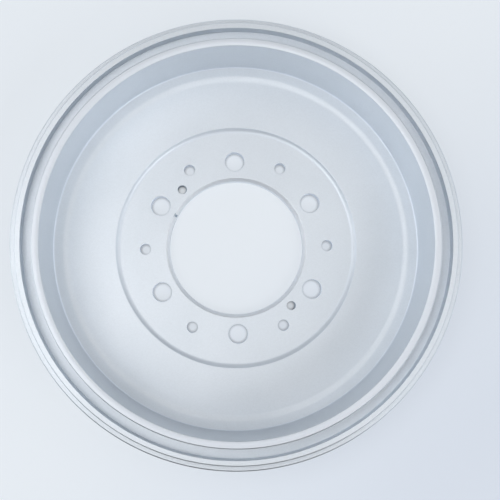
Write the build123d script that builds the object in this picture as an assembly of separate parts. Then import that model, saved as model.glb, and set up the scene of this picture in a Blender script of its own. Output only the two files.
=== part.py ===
from build123d import *
import os
from dataclasses import dataclass
from math import radians, tan

# Rear brake drum for a light van: one grey iron casting, turned and drilled, on six wheel studs.
# Millimetres, +Z along the drum's axis. The origin is at the middle of the wheel face, so the
# drum stands on its closed end with the mouth up.

# ---- driving dimensions ----------------------------------------------------------------------

# Friction ring: the turned cylinder that the shoes press against.
OVERALL_HEIGHT = 84.0
FRICTION_DIAMETER = 295.0
RING_WALL = 9.5              # iron behind the friction surface at the closed end
FRICTION_ROOT_BEVEL = 1.2    # left by the tool where the friction surface meets the shoulder
MOUTH_LEAD_IN_WIDTH = 3.0    # shallow slope that lets the shoes enter
MOUTH_LEAD_IN_DEPTH = 0.7

# Web: the closed end, with a turned pad for the hub and a turned shoulder beside the ring.
PAD_THICKNESS = 10.0         # iron between the hub pad and the wheel face
PAD_DIAMETER = 190.0
PAD_RECESS = 2.2             # how far the pad lies below the web
PAD_STEP_WIDTH = 2.3
SHOULDER_DIAMETER = 278.4
SHOULDER_RISE = 0.8          # how far the shoulder stands above the web
SHOULDER_STEP_WIDTH = 3.8
WHEEL_FACE_DIAMETER = 200.0
WHEEL_FACE_RELIEF = 1.5      # the outer end face stands back this far from the wheel face
RELIEF_STEP_WIDTH = 2.0
END_CORNER_RADIUS = 18.0

# Hub bore, bevelled deeply on the hub's side.
BORE_DIAMETER = 108.0
BORE_LEAD_IN = 2.7
BORE_EDGE_BREAK = 0.6

# Stepped rim at the mouth: lip, sealing groove, shield ring and the ledge of the flange.
LIP_THICKNESS = 5.3
GROOVE_WIDTH = 8.9           # takes the turned-up edge of the backing plate
GROOVE_DEPTH = 16.0          # from the top of the lip to the floor of the groove
SHIELD_THICKNESS = 4.3
SHIELD_SETBACK = 5.0         # how far the shield ring stays below the lip
LEDGE_SETBACK = 15.0         # how far the flange's ledge stays below the lip
LEDGE_WIDTH = 5.2
FLANGE_EDGE_HEIGHT = 9.0
FLANGE_FLARE = 5.0           # bevel that carries the flange's underside into the outer wall
RIM_EDGE_BREAK = 0.7         # on the turned edges of the lip, the shield ring and the ledge
CAST_EDGE_BREAK = 1.6        # on the flange's rough lower edge
CAST_DRAFT = 1.5             # degrees, on the rough outer wall and the flange's underside

# Holes through the pad. Angles are counted from +X towards +Y.
STUD_CIRCLE = 139.7
STUD_COUNT = 6
STUD_HOLE = 15.6
STUD_FIRST_ANGLE = 30.0
SCREW_CIRCLE = 147.0
SCREW_COUNT = 6
SCREW_HOLE = 9.0
SCREW_FIRST_ANGLE = 0.0
JACKING_CIRCLE = 129.0
JACKING_COUNT = 2
JACKING_HOLE = 6.8           # tapping size of an M8 thread
JACKING_FIRST_ANGLE = 132.0
HOLE_EDGE_BREAK = 0.4        # on the hub's side of the stud and screw holes
JACKING_LEAD_IN = 0.6        # on the wheel's side, where the jacking bolts enter
CUTTER_OVERRUN = 1.0         # how far the hole cutters reach past both faces

# ---- sizes that follow -----------------------------------------------------------------------

DRAFT_SLOPE = tan(radians(CAST_DRAFT))

FRICTION_RADIUS = FRICTION_DIAMETER / 2
BORE_RADIUS = BORE_DIAMETER / 2
PAD_RADIUS = PAD_DIAMETER / 2
SHOULDER_RADIUS = SHOULDER_DIAMETER / 2
WHEEL_FACE_RADIUS = WHEEL_FACE_DIAMETER / 2

LIP_RADIUS = FRICTION_RADIUS + LIP_THICKNESS
SHIELD_INNER_RADIUS = LIP_RADIUS + GROOVE_WIDTH
SHIELD_OUTER_RADIUS = SHIELD_INNER_RADIUS + SHIELD_THICKNESS
FLANGE_RADIUS = SHIELD_OUTER_RADIUS + LEDGE_WIDTH

WEB_HEIGHT = PAD_THICKNESS + PAD_RECESS
SHOULDER_HEIGHT = WEB_HEIGHT + SHOULDER_RISE
GROOVE_HEIGHT = OVERALL_HEIGHT - GROOVE_DEPTH
SHIELD_HEIGHT = OVERALL_HEIGHT - SHIELD_SETBACK
LEDGE_HEIGHT = OVERALL_HEIGHT - LEDGE_SETBACK
FLANGE_LOW_EDGE = LEDGE_HEIGHT - FLANGE_EDGE_HEIGHT

# The outer wall leans out by its draft from the end face up to the underside of the flange, and
# the underside falls away by the same draft from the flange's edge in to that wall.
WALL_RADIUS_AT_END = FRICTION_RADIUS + RING_WALL
WALL_RADIUS_AT_FLANGE = WALL_RADIUS_AT_END + (FLANGE_LOW_EDGE - WHEEL_FACE_RELIEF) * DRAFT_SLOPE
FLANGE_ROOT_HEIGHT = FLANGE_LOW_EDGE - (FLANGE_RADIUS - WALL_RADIUS_AT_FLANGE) * DRAFT_SLOPE


@dataclass
class Corner:
    """One corner of the drum's section: its place, and the bevel or the blend that it gets."""

    radius: float
    height: float
    bevel: float = 0
    blend: float = 0

    def place(self):
        """The corner as a point of the section's plane."""
        return Vector(self.radius, self.height)

    def towards(self, other):
        """The point on the side that runs to another corner where this corner's bevel ends."""
        return self.place() + (other.place() - self.place()).normalized() * self.bevel


def closed_end_outside():
    """Corners of the outside, from the hub bore over the wheel face to the outer wall."""
    return [
        Corner(BORE_RADIUS, 0, bevel=BORE_EDGE_BREAK),
        Corner(WHEEL_FACE_RADIUS, 0),
        Corner(WHEEL_FACE_RADIUS + RELIEF_STEP_WIDTH, WHEEL_FACE_RELIEF),
        Corner(WALL_RADIUS_AT_END, WHEEL_FACE_RELIEF, blend=END_CORNER_RADIUS),
    ]


def stepped_rim():
    """Corners of the rim, from under the flange over ledge, shield ring and groove to the mouth."""
    return [
        Corner(WALL_RADIUS_AT_FLANGE, FLANGE_ROOT_HEIGHT, bevel=FLANGE_FLARE),
        Corner(FLANGE_RADIUS, FLANGE_LOW_EDGE, bevel=CAST_EDGE_BREAK),
        Corner(FLANGE_RADIUS, LEDGE_HEIGHT, bevel=RIM_EDGE_BREAK),
        Corner(SHIELD_OUTER_RADIUS, LEDGE_HEIGHT),
        Corner(SHIELD_OUTER_RADIUS, SHIELD_HEIGHT, bevel=RIM_EDGE_BREAK),
        Corner(SHIELD_INNER_RADIUS, SHIELD_HEIGHT, bevel=RIM_EDGE_BREAK),
        Corner(SHIELD_INNER_RADIUS, GROOVE_HEIGHT),
        Corner(LIP_RADIUS, GROOVE_HEIGHT),
        Corner(LIP_RADIUS, OVERALL_HEIGHT, bevel=RIM_EDGE_BREAK),
        Corner(FRICTION_RADIUS + MOUTH_LEAD_IN_WIDTH, OVERALL_HEIGHT),
        Corner(FRICTION_RADIUS, OVERALL_HEIGHT - MOUTH_LEAD_IN_DEPTH),
    ]


def closed_end_inside():
    """Corners of the inside, from the foot of the friction surface over the web to the hub bore."""
    return [
        Corner(FRICTION_RADIUS, SHOULDER_HEIGHT, bevel=FRICTION_ROOT_BEVEL),
        Corner(SHOULDER_RADIUS, SHOULDER_HEIGHT),
        Corner(SHOULDER_RADIUS - SHOULDER_STEP_WIDTH, WEB_HEIGHT),
        Corner(PAD_RADIUS + PAD_STEP_WIDTH, WEB_HEIGHT),
        Corner(PAD_RADIUS, PAD_THICKNESS),
        Corner(BORE_RADIUS, PAD_THICKNESS, bevel=BORE_LEAD_IN),
    ]


def section(corners):
    """The drum's section as a face: the corners joined by straight sides, bevelled and blended."""
    points = []
    blends = []
    befores = corners[-1:] + corners[:-1]
    afters = corners[1:] + corners[:1]
    for before, corner, after in zip(befores, corners, afters):
        if corner.bevel:
            points += [corner.towards(before), corner.towards(after)]
            blends += [0, 0]
        else:
            points.append(corner.place())
            blends.append(corner.blend)
    return make_face(Plane.XZ * FilletPolyline(*points, radius=blends, close=True))


def turned_drum():
    """The casting as it leaves the lathe: its whole section, turned once round the axis."""
    corners = closed_end_outside() + stepped_rim() + closed_end_inside()
    return revolve(section(corners), Axis.Z)


def drill(diameter, edge_break, broken_at_wheel_face=False):
    """A cutter for one hole through the pad that also breaks the hole's edge at one face.

    It is drawn for the pad's face and turned over for the wheel face.
    """
    radius = diameter / 2
    low = -CUTTER_OVERRUN
    high = PAD_THICKNESS + CUTTER_OVERRUN
    outline = [
        (0, low),
        (radius, low),
        (radius, PAD_THICKNESS - edge_break),
        (radius + edge_break + CUTTER_OVERRUN, high),
        (0, high),
    ]
    if broken_at_wheel_face:
        outline = [(across, PAD_THICKNESS - height) for across, height in outline]
    return revolve(make_face(Plane.XZ * Polyline(*outline, close=True)), Axis.Z)


def on_circle(cutter, diameter, count, first_angle):
    """Copies of a cutter, evenly spaced on their pitch circle."""
    places = PolarLocations(diameter / 2, count, start_angle=first_angle)
    return [place * cutter for place in places]


def brake_drum():
    """The finished drum: the turned casting less its three rings of holes."""
    stud_drill = drill(STUD_HOLE, HOLE_EDGE_BREAK)
    screw_drill = drill(SCREW_HOLE, HOLE_EDGE_BREAK)
    jacking_drill = drill(JACKING_HOLE, JACKING_LEAD_IN, broken_at_wheel_face=True)
    return (
        turned_drum()
        - on_circle(stud_drill, STUD_CIRCLE, STUD_COUNT, STUD_FIRST_ANGLE)
        - on_circle(screw_drill, SCREW_CIRCLE, SCREW_COUNT, SCREW_FIRST_ANGLE)
        - on_circle(jacking_drill, JACKING_CIRCLE, JACKING_COUNT, JACKING_FIRST_ANGLE)
    )


os.makedirs("parts", exist_ok=True)
export_step(brake_drum(), "parts/brake_drum.step")
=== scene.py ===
"""A brake drum on a pale table: one grey iron casting, turned, drilled and silver coated.

Lengths are in metres. The origin is at the middle of the wheel face and +Z runs along the drum's
axis to its mouth, so the drum lies on its closed end.
"""

import logging
import math
from dataclasses import dataclass, field
from enum import Enum
from typing import Callable, Sequence

import bmesh
import bpy
from bpy.types import Material, Node, NodeSocket, NodeTree, Object
from mathutils import Euler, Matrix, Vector


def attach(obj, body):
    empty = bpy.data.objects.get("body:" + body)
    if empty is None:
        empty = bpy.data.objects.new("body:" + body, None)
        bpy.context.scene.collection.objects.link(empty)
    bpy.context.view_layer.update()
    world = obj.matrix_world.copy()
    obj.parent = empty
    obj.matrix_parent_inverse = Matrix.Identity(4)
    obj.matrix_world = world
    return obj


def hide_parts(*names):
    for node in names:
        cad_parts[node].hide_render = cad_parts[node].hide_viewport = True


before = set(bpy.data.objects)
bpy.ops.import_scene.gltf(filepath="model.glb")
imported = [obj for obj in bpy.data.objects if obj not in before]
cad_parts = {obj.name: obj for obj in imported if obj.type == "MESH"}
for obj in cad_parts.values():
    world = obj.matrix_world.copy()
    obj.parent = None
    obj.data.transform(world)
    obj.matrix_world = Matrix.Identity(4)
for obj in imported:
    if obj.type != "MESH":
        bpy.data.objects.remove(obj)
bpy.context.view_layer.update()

LOG = logging.getLogger("brake_drum")

MM = 0.001                     # one millimetre, in metres
NODE = "brake_drum"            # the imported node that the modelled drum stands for
BODY = "root"

PLACE_TOLERANCE = 0.02 * MM    # how near a vertex lies to a ring that it belongs to
LEVEL_TOLERANCE = 0.01 * MM    # how near the middle of a face lies to a level that it belongs to
LEVEL_NORMAL = 0.95            # the normal of a level face rises at least this much
SMOOTH_ANGLE = math.radians(38)
FULL_TURN = 2 * math.pi
ARC_PROFILE = 0.5              # the profile of a bevel that is an arc of a circle

# The sRGB curve over levels from 0 to 255: a straight line up to the knee, and a power above it.
FULL_LEVEL = 255
SRGB_KNEE = 0.04045
SRGB_SLOPE = 12.92
SRGB_OFFSET = 0.055
SRGB_EXPONENT = 2.4

# The sockets of a Mix node that mixes two colours.
MIX_FIRST = 6
MIX_SECOND = 7
MIX_RESULT = 2


# ---- colours and nodes -----------------------------------------------------------------------


def linear(hex_colour: str) -> tuple[float, float, float, float]:
    """Turns an sRGB hex colour into the linear colour that a shader takes.

    Args:
        hex_colour: the colour as six hex digits, with or without a leading hash.

    Returns:
        Red, green, blue and an alpha of 1.
    """
    shares = [level / FULL_LEVEL for level in bytes.fromhex(hex_colour.lstrip("#"))]
    red, green, blue = (
        share / SRGB_SLOPE
        if share <= SRGB_KNEE
        else ((share + SRGB_OFFSET) / (1 + SRGB_OFFSET)) ** SRGB_EXPONENT
        for share in shares
    )
    return red, green, blue, 1.0


def add_node(
    tree: NodeTree,
    kind: str,
    inputs: dict[str | int, object] | None = None,
    **settings: object,
) -> Node:
    """Adds one node with its settings, its constants and the links into it.

    Args:
        tree: the node tree that gets the node.
        kind: the node's type, as Blender names it but for the leading ShaderNode.
        inputs: for each input, by name or number, a constant or the output that feeds it.
        **settings: the node's own properties.

    Returns:
        The new node.
    """
    node = tree.nodes.new(f"ShaderNode{kind}")
    for name, value in settings.items():
        setattr(node, name, value)
    for socket, value in (inputs or {}).items():
        if isinstance(value, NodeSocket):
            tree.links.new(value, node.inputs[socket])
        else:
            node.inputs[socket].default_value = value
    return node


def empty_material(name: str) -> tuple[Material, NodeTree]:
    """Makes a material whose node tree holds nothing yet.

    Args:
        name: the material's name.

    Returns:
        The material and its node tree.
    """
    material = bpy.data.materials.new(name)
    material.use_nodes = True
    material.node_tree.nodes.clear()
    return material, material.node_tree


# ---- finishes --------------------------------------------------------------------------------


class Skin(Enum):
    """How the iron under the silver coat was made."""

    TURNED = "turned"
    CAST = "as-cast"


@dataclass(frozen=True)
class SilverCoat:
    """Silver zinc-flake coat, sprayed and baked over grey iron.

    The flakes give a pale, cool satin sheen without a clear mirror image. The thin coat follows
    the iron: over turned faces the feed marks of the lathe show as very faint rings, and over
    the cast skin the grain of the sand mould shows as soft pimples.
    """

    skin: Skin
    colour: str = "#E5EBF2"
    cloud_colour: str = "#E0E7EE"
    metallic: float = 0.9
    roughness: float = 0.5
    roughness_spread: float = 0.05
    flake_mm: float = 0.9          # real flakes are 0.02 mm; drawn coarser so that they show
    flake_contrast: float = 0.015
    cloud_mm: float = 70.0         # how the coat's thickness drifts from the spray gun's passes
    cloud_detail: float = 3.0
    cloud_raggedness: float = 0.55
    feed_mm: float = 0.8           # real feed is about 0.25 mm; drawn coarser so that it shows
    feed_detail: float = 1.0
    feed_height_mm: float = 0.004
    grain_mm: float = 1.6          # grit of the moulding sand
    grain_detail: float = 4.0
    grain_height_mm: float = 0.12

    def material(self) -> Material:
        """Builds the coat's material for its kind of skin.

        Returns:
            The material, named for the coat and for the skin under it.
        """
        material, tree = empty_material(f"silver zinc-flake coat over {self.skin.value} iron")
        place = add_node(tree, "TexCoord").outputs["Object"]
        clouds = add_node(
            tree,
            "TexNoise",
            {
                "Vector": place,
                "Scale": 1 / (self.cloud_mm * MM),
                "Detail": self.cloud_detail,
                "Roughness": self.cloud_raggedness,
            },
        )
        flakes = add_node(
            tree,
            "TexVoronoi",
            {"Vector": place, "Scale": 1 / (self.flake_mm * MM)},
            feature="F1",
        )
        clouded = add_node(
            tree,
            "Mix",
            {
                "Factor": clouds.outputs["Fac"],
                MIX_FIRST: linear(self.colour),
                MIX_SECOND: linear(self.cloud_colour),
            },
            data_type="RGBA",
        )
        flake_shade = add_node(tree, "SeparateColor", {"Color": flakes.outputs["Color"]})
        speckle = add_node(
            tree,
            "MapRange",
            {
                "Value": flake_shade.outputs["Red"],
                "To Min": 1 - self.flake_contrast,
                "To Max": 1 + self.flake_contrast,
            },
        )
        speckled = add_node(
            tree,
            "VectorMath",
            {0: clouded.outputs[MIX_RESULT], "Scale": speckle.outputs["Result"]},
            operation="SCALE",
        )
        roughness = add_node(
            tree,
            "MapRange",
            {
                "Value": clouds.outputs["Fac"],
                "To Min": self.roughness - self.roughness_spread,
                "To Max": self.roughness + self.roughness_spread,
            },
        )
        shader = add_node(
            tree,
            "BsdfPrincipled",
            {
                "Base Color": speckled.outputs["Vector"],
                "Metallic": self.metallic,
                "Roughness": roughness.outputs["Result"],
                "Normal": self._relief(tree, place),
            },
        )
        add_node(tree, "OutputMaterial", {"Surface": shader.outputs["BSDF"]})
        return material

    def _relief(self, tree: NodeTree, place: NodeSocket) -> NodeSocket:
        """Adds the skin's fine relief.

        Args:
            tree: the material's node tree.
            place: the output that gives the place on the object.

        Returns:
            The output that gives the shaded normal.
        """
        if self.skin is Skin.CAST:
            height = add_node(
                tree,
                "TexNoise",
                {"Vector": place, "Scale": 1 / (self.grain_mm * MM), "Detail": self.grain_detail},
            )
            depth_mm = self.grain_height_mm
        else:
            axes = add_node(tree, "SeparateXYZ", {"Vector": place})
            across = add_node(tree, "CombineXYZ", {"X": axes.outputs["X"], "Y": axes.outputs["Y"]})
            radius = add_node(
                tree, "VectorMath", {0: across.outputs["Vector"]}, operation="LENGTH"
            )
            # The sum of radius and height grows along faces and walls alike, as the tool travels.
            travel = add_node(
                tree,
                "Math",
                {0: radius.outputs["Value"], 1: axes.outputs["Z"]},
                operation="ADD",
            )
            height = add_node(
                tree,
                "TexNoise",
                {
                    "W": travel.outputs["Value"],
                    "Scale": 1 / (self.feed_mm * MM),
                    "Detail": self.feed_detail,
                },
                noise_dimensions="1D",
            )
            depth_mm = self.feed_height_mm
        bump = add_node(tree, "Bump", {"Height": height.outputs["Fac"], "Distance": depth_mm * MM})
        return bump.outputs["Normal"]


@dataclass(frozen=True)
class TappedIron:
    """Cut grey iron in the threads and the nick, with only a breath of the coat on it.

    It is darker and a little less metallic to the eye than the coat on the open faces, with the
    fine tears that a tap leaves.
    """

    colour: str = "#98A6B5"
    metallic: float = 0.6
    roughness: float = 0.45
    scratch_mm: float = 0.5
    scratch_detail: float = 3.0
    scratch_height_mm: float = 0.01

    def material(self) -> Material:
        """Builds the material of cut iron.

        Returns:
            The material.
        """
        material, tree = empty_material("tapped grey iron")
        place = add_node(tree, "TexCoord").outputs["Object"]
        grain = add_node(
            tree,
            "TexNoise",
            {"Vector": place, "Scale": 1 / (self.scratch_mm * MM), "Detail": self.scratch_detail},
        )
        bump = add_node(
            tree,
            "Bump",
            {"Height": grain.outputs["Fac"], "Distance": self.scratch_height_mm * MM},
        )
        shader = add_node(
            tree,
            "BsdfPrincipled",
            {
                "Base Color": linear(self.colour),
                "Metallic": self.metallic,
                "Roughness": self.roughness,
                "Normal": bump.outputs["Normal"],
            },
        )
        add_node(tree, "OutputMaterial", {"Surface": shader.outputs["BSDF"]})
        return material


@dataclass(frozen=True)
class LitTable:
    """Opal acrylic top of a light table: matt, pale and cool, with a soft glow of its own.

    The glow is seen, and mirrored by glossy things, but it throws no light on them. It is even
    under the drum and grows weaker and cooler towards the front right. It fades where something
    stands close above it, as round the feet of the small holes, and in a soft shadow round the
    drum that is deepest on the right.
    """

    colour: str = "#E0E9F3"
    roughness: float = 0.7
    specular: float = 0.2
    glow_colour: str = "#F5FAFF"
    far_glow_colour: str = "#DEE5F1"
    glow_strength: float = 0.957
    glow_share: float = 0.65       # of what the eye gets; the rest is the matt top in the lamps
    fall_start_mm: float = -30.0   # along the diagonal to the front right, from the middle
    fall_end_mm: float = 280.0
    shade_reach_mm: float = 2.3    # from the foot of a wall
    shade_samples: int = 8
    shadeless_radius_mm: float = 58.0      # the open bore lets enough light in at its foot
    shadow_reach_mm: float = 50.0          # of the soft shadow round the drum
    shadow_depth: float = 0.33             # on the right, where it is deepest
    shadow_start_mm: float = -150.0        # along X, from no shadow to the deepest
    shadow_end_mm: float = 100.0
    shadow_inner_radius_mm: float = 100.0  # the glow shows through the holes within the wheel face

    def material(self) -> Material:
        """Builds the table's material.

        Returns:
            The material: the matt top, with the glow mixed in for the rays that see it.
        """
        material, tree = empty_material("opal acrylic table")
        top = add_node(
            tree,
            "BsdfPrincipled",
            {
                "Base Color": linear(self.colour),
                "Roughness": self.roughness,
                "Specular IOR Level": self.specular,
            },
        )
        place = add_node(tree, "TexCoord").outputs["Object"]
        axes = add_node(tree, "SeparateXYZ", {"Vector": place})
        radius = add_node(tree, "VectorMath", {0: place}, operation="LENGTH")
        near_walls = add_node(
            tree,
            "Math",
            {0: self._wall_shade(tree, radius.outputs["Value"]), 1: self.glow_strength},
            operation="MULTIPLY",
        )
        round_drum = add_node(
            tree,
            "Math",
            {
                0: near_walls.outputs["Value"],
                1: self._drum_shadow(tree, axes.outputs["X"], radius.outputs["Value"]),
            },
            operation="MULTIPLY",
        )
        glow = add_node(
            tree,
            "Emission",
            {
                "Color": self._glow_colour(tree, axes.outputs["X"], axes.outputs["Y"]),
                "Strength": round_drum.outputs["Value"],
            },
        )
        share = add_node(
            tree,
            "Math",
            {0: self._seeing_rays(tree), 1: self.glow_share},
            operation="MULTIPLY",
        )
        mixed = add_node(
            tree,
            "MixShader",
            {0: share.outputs["Value"], 1: top.outputs["BSDF"], 2: glow.outputs["Emission"]},
        )
        add_node(tree, "OutputMaterial", {"Surface": mixed.outputs["Shader"]})
        return material

    def _glow_colour(self, tree: NodeTree, across: NodeSocket, back: NodeSocket) -> NodeSocket:
        """Adds the glow's colour, which turns weaker and cooler towards the front right.

        Args:
            tree: the material's node tree.
            across: the output that gives the place along X.
            back: the output that gives the place along Y.

        Returns:
            The output that gives the colour.
        """
        along = add_node(tree, "Math", {0: across, 1: back}, operation="SUBTRACT")
        fall = add_node(
            tree,
            "MapRange",
            {
                "Value": along.outputs["Value"],
                "From Min": self.fall_start_mm * MM * math.sqrt(2),
                "From Max": self.fall_end_mm * MM * math.sqrt(2),
            },
            interpolation_type="SMOOTHSTEP",
        )
        colour = add_node(
            tree,
            "Mix",
            {
                "Factor": fall.outputs["Result"],
                MIX_FIRST: linear(self.glow_colour),
                MIX_SECOND: linear(self.far_glow_colour),
            },
            data_type="RGBA",
        )
        return colour.outputs[MIX_RESULT]

    def _wall_shade(self, tree: NodeTree, radius: NodeSocket) -> NodeSocket:
        """Adds the shade at the foot of the small holes' walls.

        Args:
            tree: the material's node tree.
            radius: the output that gives the distance from the drum's axis.

        Returns:
            The output that gives the share of the glow that is left.
        """
        shade = add_node(
            tree,
            "AmbientOcclusion",
            {"Distance": self.shade_reach_mm * MM},
            samples=self.shade_samples,
        )
        in_bore = add_node(
            tree,
            "Math",
            {0: radius, 1: self.shadeless_radius_mm * MM},
            operation="LESS_THAN",
        )
        left = add_node(
            tree,
            "Math",
            {0: shade.outputs["AO"], 1: in_bore.outputs["Value"]},
            operation="MAXIMUM",
        )
        return left.outputs["Value"]

    def _drum_shadow(self, tree: NodeTree, across: NodeSocket, radius: NodeSocket) -> NodeSocket:
        """Adds the soft shadow round the drum, which grows deeper from left to right.

        Args:
            tree: the material's node tree.
            across: the output that gives the place along X.
            radius: the output that gives the distance from the drum's axis.

        Returns:
            The output that gives the share of the glow that is left.
        """
        under_drum = add_node(
            tree,
            "Math",
            {0: radius, 1: self.shadow_inner_radius_mm * MM},
            operation="LESS_THAN",
        )
        by_side = add_node(
            tree,
            "MapRange",
            {
                "Value": across,
                "From Min": self.shadow_start_mm * MM,
                "From Max": self.shadow_end_mm * MM,
                "To Min": 1.0,
                "To Max": 1 - self.shadow_depth,
            },
            interpolation_type="SMOOTHSTEP",
        )
        darkest = add_node(
            tree,
            "Math",
            {0: by_side.outputs["Result"], 1: under_drum.outputs["Value"]},
            operation="MAXIMUM",
        )
        openness = add_node(
            tree,
            "AmbientOcclusion",
            {"Distance": self.shadow_reach_mm * MM},
            samples=self.shade_samples,
        )
        left = add_node(
            tree,
            "MapRange",
            {"Value": openness.outputs["AO"], "To Min": darkest.outputs["Value"], "To Max": 1.0},
        )
        return left.outputs["Result"]

    def _seeing_rays(self, tree: NodeTree) -> NodeSocket:
        """Adds the test for the rays that see the glow.

        Args:
            tree: the material's node tree.

        Returns:
            The output that is 1 for camera, glossy and transmission rays and 0 for others.
        """
        rays = add_node(tree, "LightPath")
        seen = rays.outputs["Is Camera Ray"]
        for other in ("Is Glossy Ray", "Is Transmission Ray"):
            seen = add_node(
                tree, "Math", {0: seen, 1: rays.outputs[other]}, operation="MAXIMUM"
            ).outputs["Value"]
        return seen


@dataclass(frozen=True)
class EvenFinish:
    """A finish that is the same all over its surface."""

    name: str
    colour: str
    roughness: float
    metallic: float = 0.0

    def material(self) -> Material:
        """Builds the finish's material.

        Returns:
            The material.
        """
        material, tree = empty_material(self.name)
        shader = add_node(
            tree,
            "BsdfPrincipled",
            {
                "Base Color": linear(self.colour),
                "Metallic": self.metallic,
                "Roughness": self.roughness,
            },
        )
        add_node(tree, "OutputMaterial", {"Surface": shader.outputs["BSDF"]})
        return material


# Some copies of the silver coat paint light and shade on the drum. A paler, less metallic one is
# a painted highlight in the root of the friction surface and on the walls of the stud and screw
# holes. A less metallic one flattens the light and shade on the pad's step. A paler one is a
# painted highlight on the bore's bevel. A darker one is painted shade on the top and outer edge
# of the lip.
CORNER_HIGHLIGHT_COAT = EvenFinish(
    "silver zinc-flake coat run together in a corner", "#E9F1FB", roughness=0.35, metallic=0.35
)
STEP_EVEN_SHADE_COAT = EvenFinish(
    "silver zinc-flake coat run together on a step", "#E2EAF3", roughness=0.4, metallic=0.4
)
BORE_HIGHLIGHT_COAT = EvenFinish(
    "silver zinc-flake coat polished by the hub's collar", "#EFF2F6", roughness=0.5, metallic=0.9
)
LIP_SHADE_COAT = EvenFinish(
    "silver zinc-flake coat darker on the lip as painted shade", "#DFE5ED", roughness=0.5, metallic=0.9
)

# The cloth on the studio's flag swallows light, so what mirrors it turns dark.
BLACK_VELVET = EvenFinish("black velvet on a card", "#0B0B0C", roughness=0.95)


# ---- modelling by hand -----------------------------------------------------------------------


@dataclass(frozen=True)
class Ring:
    """One corner of a turned section, which is a ring of edges on the turned form.

    A rounding in one step is a plain bevel.
    """

    radius: float
    height: float
    rounding: float = 0.0
    steps: int = 2

    def holds(self, place: Vector) -> bool:
        """Whether a vertex at this place belongs to the ring."""
        return (
            abs(place.z - self.height) < PLACE_TOLERANCE
            and abs(math.hypot(place.x, place.y) - self.radius) < PLACE_TOLERANCE
        )


def polar(radius: float, angle: float, height: float = 0.0) -> Vector:
    """The place at a radius and a height, with the angle in radians from +X towards +Y."""
    return Vector((radius * math.cos(angle), radius * math.sin(angle), height))


def deselect_everything() -> None:
    """Leaves no object selected, so that the next operator acts on its own piece alone."""
    bpy.ops.object.select_all(action="DESELECT")


def pick(piece: Object) -> None:
    """Selects one piece alone and makes it the active one.

    Args:
        piece: the piece.
    """
    deselect_everything()
    piece.select_set(True)
    bpy.context.view_layer.objects.active = piece


def select_edges(piece: Object, wanted: Callable[[bmesh.types.BMEdge], bool]) -> None:
    """Selects the edges of a piece in edit mode that a test picks out, and no others.

    Args:
        piece: the piece that is in edit mode.
        wanted: says of each edge whether it is selected.
    """
    bpy.ops.mesh.select_all(action="DESELECT")
    shape = bmesh.from_edit_mesh(piece.data)
    for edge in shape.edges:
        if wanted(edge):
            edge.select_set(True)
    bmesh.update_edit_mesh(piece.data)


def turn_form(name: str, rings: Sequence[Ring], segments: int, hollow: bool) -> Object:
    """Turns a form about the Z axis: a circle is extruded from ring to ring of its section.

    Args:
        name: the piece's name.
        rings: the corners of the section, in order.
        segments: how many edges one ring has.
        hollow: whether the section closes on itself. If not, both ends are capped.

    Returns:
        The piece, closed, with its faces outwards and its place in its mesh.
    """
    deselect_everything()
    first = rings[0]
    bpy.ops.mesh.primitive_circle_add(
        vertices=segments, radius=first.radius, fill_type="NOTHING", location=(0, 0, first.height)
    )
    piece = bpy.context.object
    piece.name = name
    piece.data.name = name
    bpy.ops.object.transform_apply(location=True, rotation=True, scale=True)
    bpy.ops.object.mode_set(mode="EDIT")
    bpy.ops.mesh.select_mode(type="EDGE")
    bpy.ops.mesh.select_all(action="SELECT")
    last = first
    for ring in [*rings[1:], first] if hollow else rings[1:]:
        bpy.ops.mesh.extrude_edges_move(
            TRANSFORM_OT_translate={"value": (0, 0, ring.height - last.height)}
        )
        growth = ring.radius / last.radius
        bpy.ops.transform.resize(value=(growth, growth, 1), center_override=(0, 0, ring.height))
        last = ring
    if hollow:
        bpy.ops.mesh.select_all(action="SELECT")
        bpy.ops.mesh.remove_doubles(threshold=PLACE_TOLERANCE)
    else:
        bpy.ops.mesh.edge_face_add()
        select_edges(piece, lambda edge: all(first.holds(end.co) for end in edge.verts))
        bpy.ops.mesh.edge_face_add()
    round_rings(piece, rings)
    bpy.ops.mesh.select_all(action="SELECT")
    bpy.ops.mesh.normals_make_consistent(inside=False)
    bpy.ops.object.mode_set(mode="OBJECT")
    return piece


def round_rings(piece: Object, rings: Sequence[Ring]) -> None:
    """Rounds off the rings of a turned form that has been extruded and is still in edit mode.

    Args:
        piece: the turned form.
        rings: its rings, each with its own rounding.
    """
    for ring in rings:
        if not ring.rounding:
            continue
        select_edges(piece, lambda edge: all(ring.holds(end.co) for end in edge.verts))
        bpy.ops.mesh.bevel(
            offset=ring.rounding,
            offset_type="OFFSET",
            segments=ring.steps,
            profile=ARC_PROFILE,
            affect="EDGES",
            clamp_overlap=False,
        )


def copy_at(piece: Object, shift: Vector) -> Object:
    """Copies a piece with a mesh of its own and moves the copy's mesh.

    Args:
        piece: the piece that is copied.
        shift: how far the copy moves.

    Returns:
        The copy.
    """
    pick(piece)
    bpy.ops.object.duplicate(linked=False)
    bpy.ops.transform.translate(value=shift)
    bpy.ops.object.transform_apply(location=True, rotation=True, scale=True)
    return bpy.context.object


def cut_with(piece: Object, cutters: Sequence[Object]) -> None:
    """Cuts a piece with closed cutters and throws the cutters away.

    Args:
        piece: the piece that is cut.
        cutters: closed forms that don't touch each other.
    """
    pick(cutters[0])
    for cutter in cutters:
        cutter.select_set(True)
    if len(cutters) > 1:
        bpy.ops.object.join()
    joined = bpy.context.object
    pick(piece)
    cut = piece.modifiers.new("cut", "BOOLEAN")
    cut.operation = "DIFFERENCE"
    cut.solver = "EXACT"
    cut.object = joined
    bpy.ops.object.modifier_apply(modifier=cut.name)
    bpy.data.objects.remove(joined)


# ---- holes -----------------------------------------------------------------------------------


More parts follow.
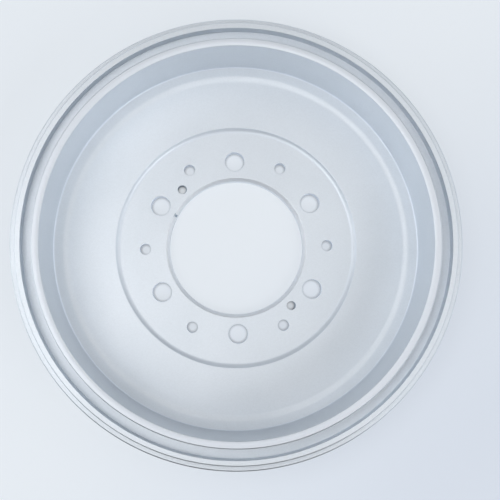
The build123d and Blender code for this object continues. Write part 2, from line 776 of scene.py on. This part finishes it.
@dataclass(frozen=True)
class Hole:
    """A drilled hole through the hub pad, with its edges broken at both faces."""

    diameter: float
    edge_break: float          # on the hub's side
    far_edge_break: float      # on the wheel's side
    segments: int = 72
    overrun: float = 1.0 * MM  # how far the drill reaches past both faces

    def bit(self, thickness: float) -> Object:
        """Models the drill that cuts the hole.

        Args:
            thickness: how thick the pad is.

        Returns:
            The drill, on the Z axis, reaching past both faces.
        """
        radius = self.diameter / 2
        rings = [
            Ring(radius + self.far_edge_break + self.overrun, -self.overrun),
            Ring(radius, self.far_edge_break),
            Ring(radius, thickness - self.edge_break),
            Ring(radius + self.edge_break + self.overrun, thickness + self.overrun),
        ]
        return turn_form("drill", rings, self.segments, hollow=False)


@dataclass(frozen=True)
class Thread:
    """A metric inside thread, cut by a tap whose one tooth winds up through the hole."""

    major_diameter: float = 8.0 * MM
    pitch: float = 1.25 * MM
    root_flat: float = 1 / 8       # shares of the pitch, as the standard thread form gives them
    crest_flat: float = 1 / 4
    sink: float = 0.15 * MM        # how far the tooth reaches inside the drilled wall
    lead_turns: int = 2            # before the wheel face
    spare_turns: int = 3           # on top of those that the pad's thickness takes
    steps: int = 40                # of one turn

    def tooth(self, hole_diameter: float, thickness: float) -> Object:
        """Models the tap's tooth.

        Args:
            hole_diameter: the diameter that was drilled before.
            thickness: how thick the pad is.

        Returns:
            The helical tooth, on the Z axis, reaching past both faces.
        """
        inner = hole_diameter / 2 - self.sink
        outer = self.major_diameter / 2
        foot = (1 - self.crest_flat) * self.pitch / 2
        tip = self.root_flat * self.pitch / 2
        start = -self.lead_turns * self.pitch
        corners = [(inner, -foot), (outer, -tip), (outer, tip), (inner, foot)]
        deselect_everything()
        bpy.ops.mesh.primitive_plane_add(size=self.pitch, location=(inner, 0, start))
        tap = bpy.context.object
        tap.name = "tap"
        bpy.ops.object.transform_apply(location=True, rotation=True, scale=True)
        bpy.ops.object.mode_set(mode="EDIT")
        shape = bmesh.from_edit_mesh(tap.data)
        # The plane's four corners, in order round its one face, become the corners of the tooth.
        for loop, (radius, height) in zip(list(shape.faces)[0].loops, corners):
            loop.vert.co = Vector((radius, 0, start + height))
        bmesh.update_edit_mesh(tap.data)
        bpy.ops.object.mode_set(mode="OBJECT")
        pick(tap)
        turns = math.ceil(thickness / self.pitch) + self.spare_turns
        winding = tap.modifiers.new("winding", "SCREW")
        winding.axis = "Z"
        winding.angle = FULL_TURN
        winding.screw_offset = self.pitch
        winding.iterations = turns
        winding.steps = self.steps
        winding.render_steps = self.steps
        bpy.ops.object.modifier_apply(modifier=winding.name)
        bpy.ops.object.mode_set(mode="EDIT")
        bpy.ops.mesh.select_all(action="SELECT")
        bpy.ops.mesh.normals_make_consistent(inside=False)
        bpy.ops.object.mode_set(mode="OBJECT")
        return tap


@dataclass(frozen=True)
class HoleCircle:
    """A ring of like holes, evenly spaced on one pitch circle."""

    diameter: float
    count: int
    first_angle: float         # degrees from +X towards +Y
    hole: Hole
    thread: Thread | None = None

    def places(self) -> list[Vector]:
        """Works out where the holes are.

        Returns:
            The middles of the holes, at the height of the wheel face.
        """
        first = math.radians(self.first_angle)
        return [
            polar(self.diameter / 2, first + FULL_TURN * number / self.count)
            for number in range(self.count)
        ]

    def surrounds(self, place: Vector, diameter: float) -> bool:
        """Whether a place lies within this diameter round the middle of one of the holes."""
        level = Vector((place.x, place.y, 0))
        return any((level - middle).length < diameter / 2 for middle in self.places())

    def cut_into(self, piece: Object, thickness: float) -> None:
        """Drills the circle's holes, and taps them if they have a thread.

        Args:
            piece: the drum.
            thickness: how thick its pad is.
        """
        makers: list[Callable[[], Object]] = [lambda: self.hole.bit(thickness)]
        thread = self.thread
        if thread:
            makers.append(lambda: thread.tooth(self.hole.diameter, thickness))
        for make in makers:
            cutter = make()
            cutters = [copy_at(cutter, place) for place in self.places()]
            bpy.data.objects.remove(cutter)
            cut_with(piece, cutters)


@dataclass(frozen=True)
class Nick:
    """A small knock on the edge of the hub bore, where something hard struck it."""

    radius: float = 56.5 * MM
    angle: float = 151.0           # degrees from +X towards +Y
    height: float = 10.1 * MM
    # How far the nick reaches from its middle: outwards, along the edge and down.
    size: tuple[float, float, float] = (0.5 * MM, 1.8 * MM, 0.5 * MM)
    subdivisions: int = 3

    def place(self) -> Vector:
        """The middle of the nick."""
        return polar(self.radius, math.radians(self.angle), self.height)

    def cut_into(self, piece: Object) -> None:
        """Knocks the dent out of the bore's edge.

        Args:
            piece: the drum.
        """
        deselect_everything()
        bpy.ops.mesh.primitive_ico_sphere_add(
            subdivisions=self.subdivisions,
            radius=1,
            location=self.place(),
            rotation=(0, 0, math.radians(self.angle)),
            scale=self.size,
        )
        dent = bpy.context.object
        bpy.ops.object.transform_apply(location=True, rotation=True, scale=True)
        cut_with(piece, [dent])


# ---- the drum --------------------------------------------------------------------------------


class Zone(Enum):
    """The parts of the drum's surface, each with a look of its own."""

    TURNED = "turned faces"
    CAST = "rough outside"
    THREAD = "tapped threads"
    CORNER = "corners and holes where the coat is thick"
    STEP = "step round the hub pad"
    BORE = "bevel of the hub bore"
    LIP = "top and outer edge of the lip, where the coat is thin"


@dataclass
class BrakeDrum:
    """The whole drum: closed end, friction ring, stepped rim, holes and coat."""

    overall_height: float = 84.0 * MM
    friction_radius: float = 147.5 * MM
    ring_wall: float = 9.5 * MM
    friction_root: float = 1.2 * MM        # rounding at the foot of the friction surface
    mouth_narrowing: float = 0.35 * MM     # of the friction surface, from its foot to the mouth
    mouth_lead_in_width: float = 2.4 * MM  # slope that lets the shoes enter
    mouth_lead_in_depth: float = 0.48 * MM
    mouth_edge: float = 0.3 * MM           # where the slope meets the friction surface
    mouth_blend: float = 0.8 * MM          # where it meets the top of the lip

    pad_thickness: float = 10.0 * MM
    pad_radius: float = 95.0 * MM
    pad_recess: float = 2.2 * MM           # how far the pad lies below the web
    pad_step_width: float = 2.3 * MM
    pad_step_root: float = 1.5 * MM        # rounding at the foot of the step
    pad_step_edge: float = 0.3 * MM        # and at its top
    shoulder_radius: float = 139.2 * MM
    shoulder_rise: float = 0.8 * MM        # how far the shoulder stands above the web
    shoulder_step_width: float = 3.8 * MM
    shoulder_step_blend: float = 1.2 * MM
    wheel_face_radius: float = 100.0 * MM
    wheel_face_relief: float = 1.5 * MM    # how far the end face stands back
    relief_step_width: float = 2.0 * MM
    end_corner: float = 18.0 * MM          # rounding between end face and outer wall

    bore_radius: float = 54.0 * MM
    bore_lead_in: float = 2.7 * MM
    bore_edge_break: float = 0.6 * MM

    lip_thickness: float = 5.3 * MM
    groove_width: float = 8.9 * MM
    groove_depth: float = 16.0 * MM
    shield_thickness: float = 4.3 * MM
    shield_setback: float = 5.0 * MM
    ledge_setback: float = 15.0 * MM
    ledge_width: float = 5.2 * MM
    flange_edge_height: float = 9.0 * MM
    flange_root: float = 7.0 * MM          # rounding under the flange
    turned_edge: float = 0.7 * MM          # outer edges of the lip and of the shield ring
    flange_edge: float = 0.85 * MM
    turned_root: float = 0.5 * MM          # corners of the groove and of the ledge
    cast_edge: float = 1.6 * MM            # rough lower edge of the flange
    step_edge: float = 0.4 * MM            # of the wheel face's step and the bore's bevel
    fine_edge: float = 0.2 * MM            # inner edge of the shield ring
    cast_draft: float = math.radians(1.5)

    segments: int = 360

    stud_holes: HoleCircle = HoleCircle(
        diameter=139.7 * MM,
        count=6,
        first_angle=30.0,
        hole=Hole(diameter=15.6 * MM, edge_break=0.2 * MM, far_edge_break=0.3 * MM),
    )
    screw_holes: HoleCircle = HoleCircle(
        diameter=147.0 * MM,
        count=6,
        first_angle=0.0,
        hole=Hole(diameter=8.9 * MM, edge_break=0.15 * MM, far_edge_break=0.3 * MM),
    )
    jacking_holes: HoleCircle = HoleCircle(
        diameter=129.0 * MM,
        count=2,
        first_angle=132.0,
        hole=Hole(diameter=6.8 * MM, edge_break=0.1 * MM, far_edge_break=0.6 * MM, segments=40),
        thread=Thread(),
    )
    hole_skin: float = 0.7 * MM    # faces this near a hole's wall belong to the hole
    nick: Nick = Nick()
    machined_coat: SilverCoat = SilverCoat(Skin.TURNED)
    rough_coat: SilverCoat = SilverCoat(Skin.CAST, roughness=0.55)
    cut_iron: TappedIron = TappedIron()
    corner_highlight_coat: EvenFinish = CORNER_HIGHLIGHT_COAT
    step_even_shade_coat: EvenFinish = STEP_EVEN_SHADE_COAT
    bore_highlight_coat: EvenFinish = BORE_HIGHLIGHT_COAT
    lip_shade_coat: EvenFinish = LIP_SHADE_COAT
    name: str = "drum_casting"

    @property
    def flange_radius(self) -> float:
        """The outside of the whole drum."""
        return self.shield_radius + self.ledge_width

    @property
    def lip_radius(self) -> float:
        """The outside of the lip at the mouth."""
        return self.friction_radius + self.lip_thickness

    @property
    def shield_radius(self) -> float:
        """The outside of the shield ring."""
        return self.lip_radius + self.groove_width + self.shield_thickness

    @property
    def web_height(self) -> float:
        """The inside of the closed end."""
        return self.pad_thickness + self.pad_recess

    @property
    def ledge_height(self) -> float:
        """The ledge of the flange, under the shield ring."""
        return self.overall_height - self.ledge_setback

    def outside_rings(self) -> list[Ring]:
        """Lays out the section from the bore over the wheel face up to the flange.

        Returns:
            The corners, in order.
        """
        slope = math.tan(self.cast_draft)
        low_edge = self.ledge_height - self.flange_edge_height
        wall_foot = self.friction_radius + self.ring_wall
        wall_top = wall_foot + (low_edge - self.wheel_face_relief) * slope
        root_height = low_edge - (self.flange_radius - wall_top) * slope
        relief_radius = self.wheel_face_radius + self.relief_step_width
        return [
            Ring(self.bore_radius, 0, self.bore_edge_break),
            Ring(self.wheel_face_radius, 0, self.step_edge),
            Ring(relief_radius, self.wheel_face_relief, self.step_edge),
            Ring(wall_foot, self.wheel_face_relief, self.end_corner, steps=12),
            Ring(wall_top, root_height, self.flange_root, steps=7),
            Ring(self.flange_radius, low_edge, self.cast_edge, steps=4),
        ]

    def rim_rings(self) -> list[Ring]:
        """Lays out the section over ledge, shield ring, groove and lip to the mouth.

        Returns:
            The corners, in order.
        """
        shield_inside = self.lip_radius + self.groove_width
        shield_top = self.overall_height - self.shield_setback
        groove_floor = self.overall_height - self.groove_depth
        mouth_radius = self.friction_radius - self.mouth_narrowing
        mouth_height = self.overall_height - self.mouth_lead_in_depth
        return [
            Ring(self.flange_radius, self.ledge_height, self.flange_edge, steps=1),
            Ring(self.shield_radius, self.ledge_height, self.turned_root),
            Ring(self.shield_radius, shield_top, self.turned_edge, steps=1),
            Ring(shield_inside, shield_top, self.fine_edge, steps=1),
            Ring(shield_inside, groove_floor, self.turned_root),
            Ring(self.lip_radius, groove_floor, self.turned_root),
            Ring(self.lip_radius, self.overall_height, self.turned_edge, steps=1),
            Ring(
                mouth_radius + self.mouth_lead_in_width,
                self.overall_height,
                self.mouth_blend,
                steps=4,
            ),
            Ring(mouth_radius, mouth_height, self.mouth_edge),
        ]

    def inside_rings(self) -> list[Ring]:
        """Lays out the section from the friction surface over the web back to the bore.

        Returns:
            The corners, in order.
        """
        shoulder_height = self.web_height + self.shoulder_rise
        shoulder_foot = self.shoulder_radius - self.shoulder_step_width
        pad_rim = self.pad_radius + self.pad_step_width
        return [
            Ring(self.friction_radius, shoulder_height, self.friction_root, steps=4),
            Ring(self.shoulder_radius, shoulder_height, self.shoulder_step_blend, steps=4),
            Ring(shoulder_foot, self.web_height, self.shoulder_step_blend, steps=4),
            Ring(pad_rim, self.web_height, self.pad_step_edge, steps=4),
            Ring(self.pad_radius, self.pad_thickness, self.pad_step_root, steps=5),
            Ring(self.bore_radius + self.bore_lead_in, self.pad_thickness, self.step_edge),
            Ring(self.bore_radius, self.pad_thickness - self.bore_lead_in, self.step_edge),
        ]

    def build(self) -> Object:
        """Turns, drills and taps the drum.

        Returns:
            The finished drum, smooth shaded.
        """
        rings = self.outside_rings() + self.rim_rings() + self.inside_rings()
        drum = turn_form(self.name, rings, self.segments, hollow=True)
        for circle in (self.stud_holes, self.screw_holes, self.jacking_holes):
            circle.cut_into(drum, self.pad_thickness)
        self.nick.cut_into(drum)
        self._smooth(drum)
        return drum

    def dress(self, drum: Object) -> None:
        """Gives each zone of the drum its finish; four of the finishes paint light and shade.

        Args:
            drum: the modelled drum.
        """
        finishes = {
            Zone.TURNED: self.machined_coat,
            Zone.CAST: self.rough_coat,
            Zone.THREAD: self.cut_iron,
            Zone.CORNER: self.corner_highlight_coat,
            Zone.STEP: self.step_even_shade_coat,
            Zone.BORE: self.bore_highlight_coat,
            Zone.LIP: self.lip_shade_coat,
        }
        drum.data.materials.clear()
        for zone in Zone:
            drum.data.materials.append(finishes[zone].material())
        zones = list(Zone)
        for face in drum.data.polygons:
            face.material_index = zones.index(self._zone(face.center, face.normal))

    def _zone(self, place: Vector, outward: Vector) -> Zone:
        """Says which finish a face has.

        Args:
            place: the middle of the face.
            outward: the face's normal.

        Returns:
            The zone that the face belongs to.
        """
        radius = math.hypot(place.x, place.y)
        relief_radius = self.wheel_face_radius + self.relief_step_width
        flange_side = self.ledge_height - self.flange_edge_height + self.cast_edge
        outside = place.z < self.wheel_face_relief + PLACE_TOLERANCE
        beside = radius > self.friction_radius + self.ring_wall / 2
        if radius > relief_radius and place.z < flange_side and (outside or beside):
            return Zone.CAST
        if abs(outward.z) < LEVEL_NORMAL:
            # The walls of the stud and screw holes get the painted highlight; the tapped holes and
            # the nick get bare iron.
            for circle, zone in (
                (self.jacking_holes, Zone.THREAD),
                (self.stud_holes, Zone.CORNER),
                (self.screw_holes, Zone.CORNER),
            ):
                if circle.surrounds(place, circle.hole.diameter + 2 * self.hole_skin):
                    return zone
            if (place - self.nick.place()).length < max(self.nick.size):
                return Zone.THREAD
        # The pad's step gets a less metallic copy of the coat, which flattens its light and shade:
        # painted shading.
        above_pad = place.z - self.pad_thickness
        near_step = abs(radius - self.pad_radius) < 2 * self.pad_step_width
        if near_step and LEVEL_TOLERANCE < above_pad < self.pad_recess - LEVEL_TOLERANCE:
            return Zone.STEP
        # The bore's bevel gets a paler coat: a painted highlight.
        if radius < self.bore_radius + self.bore_lead_in and place.z > self.pad_thickness / 2:
            return Zone.BORE
        # The root fillet of the friction surface gets the painted highlight.
        above_shoulder = place.z - self.web_height - self.shoulder_rise
        before_wall = self.friction_radius - radius
        depths = (above_shoulder, before_wall)
        if all(LEVEL_TOLERANCE < depth < self.friction_root for depth in depths):
            return Zone.CORNER
        # The top and outer edge of the lip get a darker coat: painted shade.
        on_lip = place.z > self.overall_height - self.mouth_lead_in_depth
        from_edge = math.dist((radius, place.z), (self.lip_radius, self.overall_height))
        if on_lip or from_edge < self.turned_edge:
            return Zone.LIP
        return Zone.TURNED

    def _smooth(self, drum: Object) -> None:
        """Shades the drum smooth over its roundings and flat on its faces.

        Args:
            drum: the modelled drum.
        """
        pick(drum)
        bpy.ops.object.shade_smooth_by_angle(angle=SMOOTH_ANGLE)
        weighing = drum.modifiers.new("weighing", "WEIGHTED_NORMAL")
        weighing.keep_sharp = True
        bpy.ops.object.modifier_apply(modifier=weighing.name)


# ---- the table, the light and the camera -----------------------------------------------------


@dataclass
class Table:
    """The pale table that the drum lies on. It is not part of the drum."""

    size: float = 40.0             # metres, so that its edges lie far behind the drum
    gap: float = 0.05 * MM         # between the table and the wheel face
    paint: LitTable = LitTable()

    def build(self) -> Object:
        """Models the table top.

        Returns:
            The table top.
        """
        deselect_everything()
        bpy.ops.mesh.primitive_plane_add(size=self.size, location=(0, 0, -self.gap))
        top = bpy.context.object
        top.name = "table_top"
        bpy.ops.object.transform_apply(location=True, rotation=True, scale=True)
        top.data.materials.append(self.paint.material())
        return top


@dataclass
class BlackFlag:
    """A low black card in front of the drum, which the bevels that face it mirror as dark lines.

    It stands just outside the camera's view. Only glossy reflections take notice of it.
    """

    width: float = 440 * MM
    height: float = 330 * MM
    middle: tuple[float, float] = (-25 * MM, -262 * MM)
    turn: float = -8.0             # degrees about Z
    cloth: EvenFinish = BLACK_VELVET

    def build(self) -> Object:
        """Models the card and hides it from all but glossy rays.

        Returns:
            The card.
        """
        deselect_everything()
        bpy.ops.mesh.primitive_plane_add(
            size=1,
            location=(*self.middle, self.height / 2),
            rotation=(math.radians(90), 0, math.radians(self.turn)),
        )
        card = bpy.context.object
        card.name = "black_flag"
        card.scale = (self.width, self.height, 1)
        bpy.ops.object.transform_apply(location=True, rotation=True, scale=True)
        card.data.materials.append(self.cloth.material())
        card.visible_camera = False
        card.visible_diffuse = False
        card.visible_transmission = False
        card.visible_shadow = False
        return card


@dataclass(frozen=True)
class SoftBox:
    """A square lamp with a diffusing front, aimed at the drum."""

    name: str
    azimuth: float             # degrees from +X towards +Y
    elevation: float           # degrees above the table
    power: float               # watts
    side: float = 0.9          # metres
    distance: float = 1.8      # metres
    colour: str = "#FFFFFF"

    def build(self, target: Vector) -> None:
        """Sets the lamp up.

        Args:
            target: the point that it is aimed at.
        """
        turn, rise = math.radians(self.azimuth), math.radians(self.elevation)
        away = polar(math.cos(rise), turn, math.sin(rise))
        deselect_everything()
        bpy.ops.object.light_add(
            type="AREA",
            location=target + away * self.distance,
            rotation=(-away).to_track_quat("-Z", "Y").to_euler(),
        )
        lamp = bpy.context.object
        lamp.name = self.name
        lamp.data.shape = "SQUARE"
        lamp.data.size = self.side
        lamp.data.energy = self.power
        lamp.data.color = linear(self.colour)[:3]


@dataclass
class Studio:
    """Soft light from all round, with lamps that give it a direction."""

    room_colour: str = "#FFFFFF"
    room_strength: float = 0.15
    target: Vector = field(default_factory=lambda: Vector((0, 0, 40 * MM)))
    lamps: tuple[SoftBox, ...] = (
        SoftBox("front_right", azimuth=315, elevation=45, power=7.1),
        SoftBox("left_low", azimuth=180, elevation=20, power=7.0),
        SoftBox("left_high", azimuth=180, elevation=68, power=5.2),
        SoftBox("front_left", azimuth=225, elevation=45, power=4.0),
        SoftBox("right_low", azimuth=0, elevation=20, power=3.4),
        SoftBox("right", azimuth=0, elevation=45, power=2.7),
        SoftBox("back_right_high", azimuth=45, elevation=68, power=2.55),
        SoftBox("back_low", azimuth=90, elevation=20, power=2.2),
        SoftBox("back_left_low", azimuth=135, elevation=20, power=1.4),
        SoftBox("front_left_high", azimuth=225, elevation=68, power=1.4),
        SoftBox("front_right_low", azimuth=315, elevation=20, power=1.35),
        SoftBox("overhead", azimuth=0, elevation=90, power=1.2),
    )

    def build(self) -> None:
        """Sets up the room's light and the lamps."""
        world = bpy.data.worlds.new("studio room")
        bpy.context.scene.world = world
        world.use_nodes = True
        world.node_tree.nodes.clear()
        room = add_node(
            world.node_tree,
            "Background",
            {"Color": linear(self.room_colour), "Strength": self.room_strength},
        )
        add_node(world.node_tree, "OutputWorld", {"Surface": room.outputs["Background"]})
        for lamp in self.lamps:
            lamp.build(self.target)


@dataclass(frozen=True)
class OverheadCamera:
    """A camera that looks straight down into the mouth, a little to one side of the axis."""

    place: tuple[float, float, float] = (-11.0 * MM, -51.3 * MM, 867.7 * MM)
    tilt: tuple[float, float, float] = (3.30, -1.40, -1.23)     # degrees about X, Y and Z
    sensor: float = 36.0             # millimetres
    focal_share: float = 2.12        # the focal length, in widths of the sensor

    def build(self) -> Object:
        """Sets the camera up and makes it the scene's own.

        Returns:
            The camera.
        """
        deselect_everything()
        turned = Euler([math.radians(angle) for angle in self.tilt], "XYZ")
        bpy.ops.object.camera_add(location=self.place, rotation=turned)
        camera = bpy.context.object
        camera.name = "overhead_camera"
        camera.data.sensor_width = self.sensor
        camera.data.lens = self.sensor * self.focal_share
        bpy.context.scene.camera = camera
        return camera


# ---- the whole scene -------------------------------------------------------------------------


def main() -> None:
    """Builds the drum, sets it on its table and lights it."""
    logging.basicConfig(level=logging.INFO, format="%(name)s: %(message)s")
    bpy.context.scene.view_settings.view_transform = "Standard"

    casting = BrakeDrum()
    drum = casting.build()
    casting.dress(drum)
    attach(drum, BODY)
    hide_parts(NODE)
    LOG.info("%s: %d faces", drum.name, len(drum.data.polygons))

    table_top = Table().build()
    LOG.info("%s: stage", table_top.name)
    flag = BlackFlag().build()
    LOG.info("%s: stage", flag.name)
    Studio().build()
    camera = OverheadCamera().build()
    LOG.info("%s: lens %.1f mm", camera.name, camera.data.lens)


if __name__ == "__main__":
    main()
